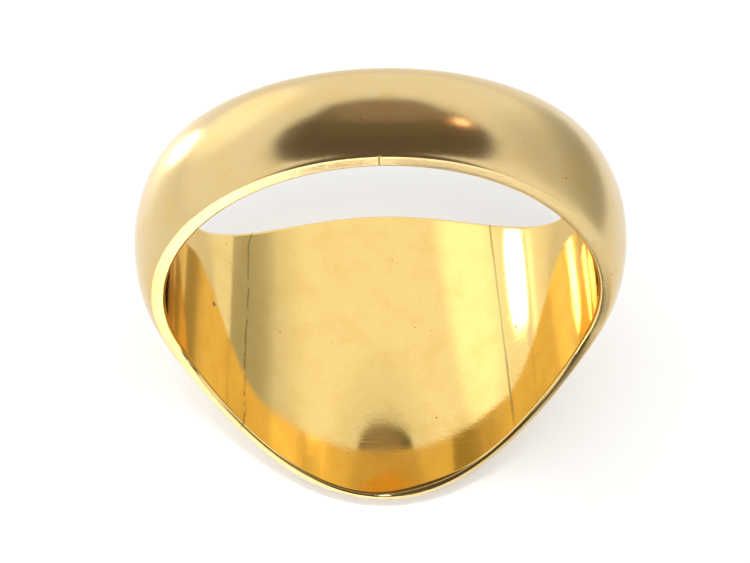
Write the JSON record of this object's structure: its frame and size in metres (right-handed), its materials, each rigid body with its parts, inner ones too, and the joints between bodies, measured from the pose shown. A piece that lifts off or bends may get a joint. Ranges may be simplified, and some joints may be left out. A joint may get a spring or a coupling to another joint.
{
  "type": "signet ring",
  "caption": "Gold signet ring lying on its flat blank round face: a solid head hard-soldered to a tapering domed shank.",
  "frame": {"origin": "centre of the flat signet face, which is the ring's lowest plane", "axes": "+Z from the face up through the finger hole to the back of the shank, +Y along the finger, +X across the finger"},
  "size_m": [0.022, 0.0164, 0.0221],
  "materials": {
    "gold": "mirror-polished yellow gold with fine wear scratches",
    "solder": "thin dull line of gold solder, slightly tarnished"
  },
  "bodies": {
    "root": {"signet_head": "gold", "shank_left": "gold", "shank_right": "gold", "solder_seam_left": "solder", "solder_seam_right": "solder", "solder_seam_back": "solder"}
  },
  "joints": []
}
